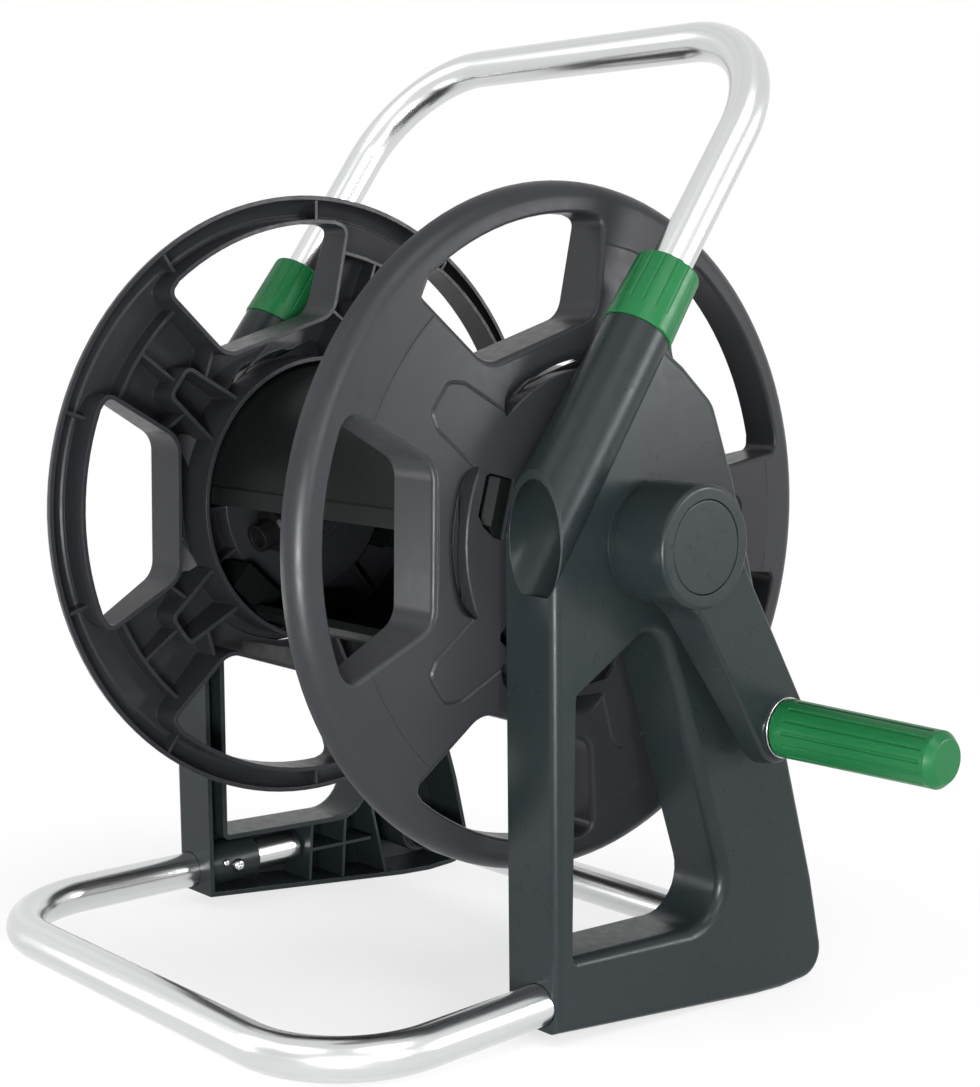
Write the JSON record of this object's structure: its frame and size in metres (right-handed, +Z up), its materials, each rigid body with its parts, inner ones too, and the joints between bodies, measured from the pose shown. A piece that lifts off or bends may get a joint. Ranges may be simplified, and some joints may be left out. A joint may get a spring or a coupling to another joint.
{
  "type": "hose reel",
  "caption": "Free-standing garden hose reel: ribbed side frames, open-windowed drum with crank and grip, sliding U handle in green collars and tubular foot.",
  "frame": {"origin": "on the floor, at the centre of the overall width and depth", "axes": "+X to the crank side along the drum's axle, -Y to the front where the foot tube lies, +Z up"},
  "size_m": [0.516, 0.381, 0.5417],
  "materials": {
    "frame_plastic": "charcoal moulded plastic, fine grain",
    "drum_plastic": "charcoal moulded plastic, satin",
    "core_plastic": "dark moulded plastic, satin",
    "green_plastic": "mid green moulded plastic, satin",
    "aluminium": "bright drawn tube, satin to polished",
    "steel": "plated steel",
    "bearing_plastic": "natural acetal",
    "black_plastic": "black moulded plastic",
    "rubber": "black rubber"
  },
  "bodies": {
    "frame": {"side_frame_left": "frame_plastic", "side_frame_right": "frame_plastic", "handle_bush_left": "bearing_plastic", "handle_bush_right": "bearing_plastic", "foot_tube": "aluminium", "rear_tube": "aluminium", "foot_screw_left": "steel", "foot_screw_right": "steel", "foot_pin_left": "steel", "foot_pin_right": "steel", "rear_screw_left": "steel", "rear_screw_right": "steel", "bearing_bush_left": "bearing_plastic", "bearing_bush_right": "bearing_plastic", "inlet_connector": "black_plastic", "o_ring_inner": "rubber", "o_ring_outer": "rubber"},
    "drum": {"flange_left": "drum_plastic", "flange_right": "drum_plastic", "axle_stub_left": "drum_plastic", "axle_stub_right": "drum_plastic", "core_upper": "core_plastic", "core_lower": "core_plastic", "crank_arm": "frame_plastic", "crank_cap": "frame_plastic", "crank_screw": "steel", "grip_pin": "steel", "water_elbow": "black_plastic", "hose_nut": "black_plastic"},
    "grip": {"grip": "green_plastic", "grip_washer": "steel"},
    "handle": {"handle_tube": "aluminium", "handle_plug_left": "black_plastic", "handle_plug_right": "black_plastic"},
    "collar_left": {"collar_left": "green_plastic"},
    "collar_right": {"collar_right": "green_plastic"}
  },
  "joints": [
    {"name": "drum_spin", "type": "hinge", "parent": "frame", "child": "drum", "pos_m": [-0.046, 0.00703, 0.2587], "axis": [1, 0, 0], "continuous": true},
    {"name": "grip_spin", "type": "hinge", "parent": "drum", "child": "grip", "pos_m": [0.2068, 0.09306, 0.15832], "axis": [1, 0, 0], "continuous": true},
    {"name": "handle_slide", "type": "slide", "parent": "frame", "child": "handle", "axis": [0, -0.5344, -0.8453], "range_m": [0, 0.08]},
    {"name": "collar_twist_left", "type": "hinge", "parent": "frame", "child": "collar_left", "pos_m": [-0.2055, 0.01659, 0.38083], "axis": [0, 0.5344, 0.8453], "range_deg": [0, 90]},
    {"name": "collar_twist_right", "type": "hinge", "parent": "frame", "child": "collar_right", "pos_m": [0.1135, 0.01659, 0.38083], "axis": [0, 0.5344, 0.8453], "range_deg": [0, 90]}
  ]
}
